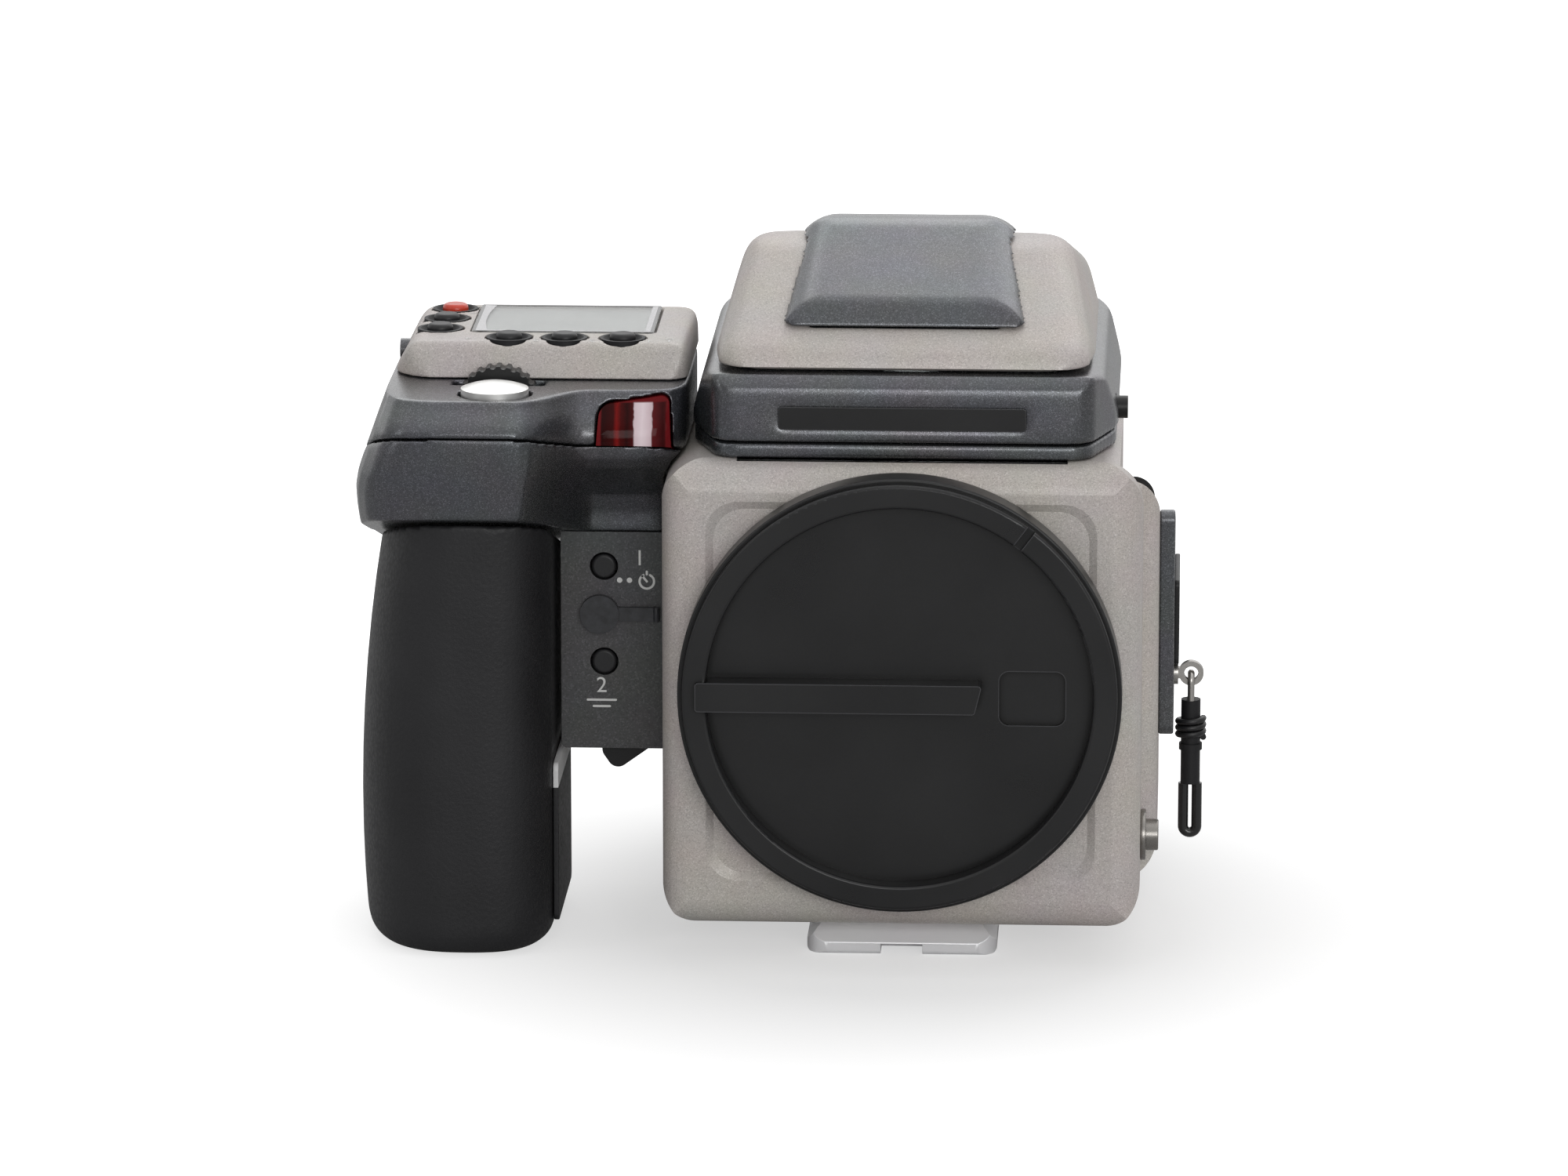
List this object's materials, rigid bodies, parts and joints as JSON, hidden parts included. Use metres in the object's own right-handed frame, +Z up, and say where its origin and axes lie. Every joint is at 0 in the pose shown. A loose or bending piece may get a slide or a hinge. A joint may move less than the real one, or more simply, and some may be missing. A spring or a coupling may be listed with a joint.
{
  "type": "medium format digital camera",
  "caption": "Medium format reflex camera body with prism finder, pop-up flash, battery grip, digital back, body cap and tripod foot; its controls, lids and grip move.",
  "frame": {"origin": "mouth of the large tripod socket, on the underside of the foot", "axes": "+Z up, the lens axis looks along -Y, +X to the side with the strap connector"},
  "size_m": [0.1564, 0.1266, 0.1318],
  "materials": {
    "champagne_paint": "satin",
    "dark_paint": "satin",
    "black_plastic": "matte",
    "black_gloss": "gloss",
    "red_plastic": "gloss",
    "grip_rubber": "matte",
    "soft_rubber": "matte",
    "steel": "satin",
    "bright_steel": "polished",
    "aluminium": "satin",
    "grey_plastic": "matte",
    "silvered_glass": "polished",
    "optical_glass": "polished",
    "red_window": "gloss",
    "display_grey": "matte",
    "waxed_cord": "matte",
    "sensor_glass": "polished"
  },
  "bodies": {
    "camera": {"body_frame": "champagne_paint", "lens_mount": "steel", "focusing_screen": "optical_glass", "tripod_foot": "aluminium", "foot_screws": "steel", "side_plate": "dark_paint", "side_strip": "black_plastic", "strap_stud": "steel", "release_collar": "steel", "finder_rail": "dark_paint", "finder_base": "dark_paint", "finder_roof": "champagne_paint", "prism": "optical_glass", "badge_plate": "dark_paint", "hot_shoe": "steel", "eyepiece_lens": "optical_glass", "eyecup": "soft_rubber", "shoulder_upper": "dark_paint", "shoulder_lower": "dark_paint", "af_window": "red_window", "af_reflector": "bright_steel", "grip_top_cover": "champagne_paint", "display_window": "optical_glass", "display_panel": "display_grey", "button_seals": "soft_rubber", "grip_strap_stud": "dark_paint", "grip_bridge": "dark_paint", "front_panel": "dark_paint", "back_housing": "black_plastic", "back_screen": "black_gloss", "sensor": "sensor_glass"},
    "mirror": {"reflex_mirror": "silvered_glass"},
    "cap": {"body_cap": "black_plastic"},
    "release": {"lens_release": "bright_steel"},
    "finder_key": {"finder_release": "black_plastic"},
    "flash": {"flash_cover": "dark_paint", "flash_head": "grey_plastic"},
    "diopter": {"diopter_dial": "black_plastic"},
    "shutter": {"shutter_button": "bright_steel"},
    "wheel_front": {"front_wheel": "black_plastic"},
    "wheel_rear": {"rear_wheel": "black_plastic"},
    "key_power": {"power_button": "red_plastic"},
    "key_profile": {"profile_button": "black_plastic"},
    "key_menu": {"menu_button": "black_plastic"},
    "key_iso": {"iso_button": "black_plastic"},
    "key_focus": {"focus_button": "black_plastic"},
    "key_flash": {"flash_button": "black_plastic"},
    "key_mirror_up": {"mirror_up_button": "black_plastic"},
    "key_stop_down": {"stop_down_button": "black_plastic"},
    "port": {"port_cover": "soft_rubber"},
    "lever": {"battery_lever": "black_plastic"},
    "battery": {"battery_grip": "grip_rubber", "grip_strip": "grey_plastic"},
    "strap": {"strap_ring": "bright_steel", "strap_sleeve": "soft_rubber", "strap_binding": "waxed_cord", "strap_hook": "black_gloss"},
    "door": {"card_door": "black_plastic"},
    "pad": {"back_pad": "black_plastic"}
  },
  "joints": [
    {"name": "mirror_flip", "type": "hinge", "parent": "camera", "child": "mirror", "pos_m": [0, 0.022, 0.084], "axis": [-1, 0, 0], "range_deg": [0, 45], "stiffness_Nm_per_rad": 0.05},
    {"name": "cap_twist", "type": "hinge", "parent": "camera", "child": "cap", "pos_m": [0, -0.031, 0.0525], "axis": [0, 1, 0], "range_deg": [0, 60]},
    {"name": "lens_release_press", "type": "slide", "parent": "camera", "child": "release", "axis": [-1, 0, 0], "range_m": [0, 0.0015], "stiffness_N_per_m": 300},
    {"name": "finder_release_press", "type": "slide", "parent": "camera", "child": "finder_key", "axis": [-1, 0, 0], "range_m": [0, 0.001], "stiffness_N_per_m": 300},
    {"name": "flash_lid", "type": "hinge", "parent": "camera", "child": "flash", "pos_m": [0, 0.0228, 0.12706], "axis": [-1, 0, 0], "range_deg": [0, 45]},
    {"name": "diopter_turn", "type": "hinge", "parent": "camera", "child": "diopter", "pos_m": [0.023, 0.0716, 0.10325], "axis": [1, 0, 0], "range_deg": [-90, 90]},
    {"name": "shutter_press", "type": "slide", "parent": "camera", "child": "shutter", "axis": [0, 0, -1], "range_m": [0, 0.0012], "stiffness_N_per_m": 300},
    {"name": "front_wheel_turn", "type": "hinge", "parent": "camera", "child": "wheel_front", "pos_m": [-0.0743, -0.0116, 0.0999], "axis": [0, 1, 0], "continuous": true},
    {"name": "rear_wheel_turn", "type": "hinge", "parent": "camera", "child": "wheel_rear", "pos_m": [-0.062, 0.0255, 0.0917], "axis": [0, 0, 1], "continuous": true},
    {"name": "power_press", "type": "slide", "parent": "camera", "child": "key_power", "axis": [0, 0, -1], "range_m": [0, 0.0008], "stiffness_N_per_m": 300},
    {"name": "profile_press", "type": "slide", "parent": "camera", "child": "key_profile", "axis": [0, 0, -1], "range_m": [0, 0.0008], "stiffness_N_per_m": 300},
    {"name": "menu_press", "type": "slide", "parent": "camera", "child": "key_menu", "axis": [0, 0, -1], "range_m": [0, 0.0008], "stiffness_N_per_m": 300},
    {"name": "iso_press", "type": "slide", "parent": "camera", "child": "key_iso", "axis": [0, 0, -1], "range_m": [0, 0.0008], "stiffness_N_per_m": 300},
    {"name": "focus_press", "type": "slide", "parent": "camera", "child": "key_focus", "axis": [0, 0, -1], "range_m": [0, 0.0008], "stiffness_N_per_m": 300},
    {"name": "flash_press", "type": "slide", "parent": "camera", "child": "key_flash", "axis": [0, 0, -1], "range_m": [0, 0.0008], "stiffness_N_per_m": 300},
    {"name": "mirror_up_press", "type": "slide", "parent": "camera", "child": "key_mirror_up", "axis": [0, 1, 0], "range_m": [0, 0.0008], "stiffness_N_per_m": 300},
    {"name": "stop_down_press", "type": "slide", "parent": "camera", "child": "key_stop_down", "axis": [0, 1, 0], "range_m": [0, 0.0008], "stiffness_N_per_m": 300},
    {"name": "port_flap", "type": "hinge", "parent": "camera", "child": "port", "pos_m": [-0.0458, -0.00865, 0.0606], "axis": [0, 0, 1], "range_deg": [0, 80]},
    {"name": "battery_lever_turn", "type": "hinge", "parent": "camera", "child": "lever", "pos_m": [-0.0495, -0.004, 0.0382], "axis": [0, 1, 0], "range_deg": [0, 20], "stiffness_Nm_per_rad": 0.05},
    {"name": "battery_slide", "type": "slide", "parent": "camera", "child": "battery", "axis": [0, 0, -1], "range_m": [0, 0.012]},
    {"name": "strap_swing", "type": "hinge", "parent": "camera", "child": "strap", "pos_m": [0.0527, 0.003, 0.048], "axis": [0, -1, 0], "range_deg": [0, 70]},
    {"name": "card_door_open", "type": "hinge", "parent": "camera", "child": "door", "pos_m": [0.0445, 0.046, 0.048], "axis": [0, 0, -1], "range_deg": [0, 90]},
    {"name": "pad_press", "type": "slide", "parent": "camera", "child": "pad", "axis": [0, -1, 0], "range_m": [0, 0.0006], "stiffness_N_per_m": 300}
  ]
}
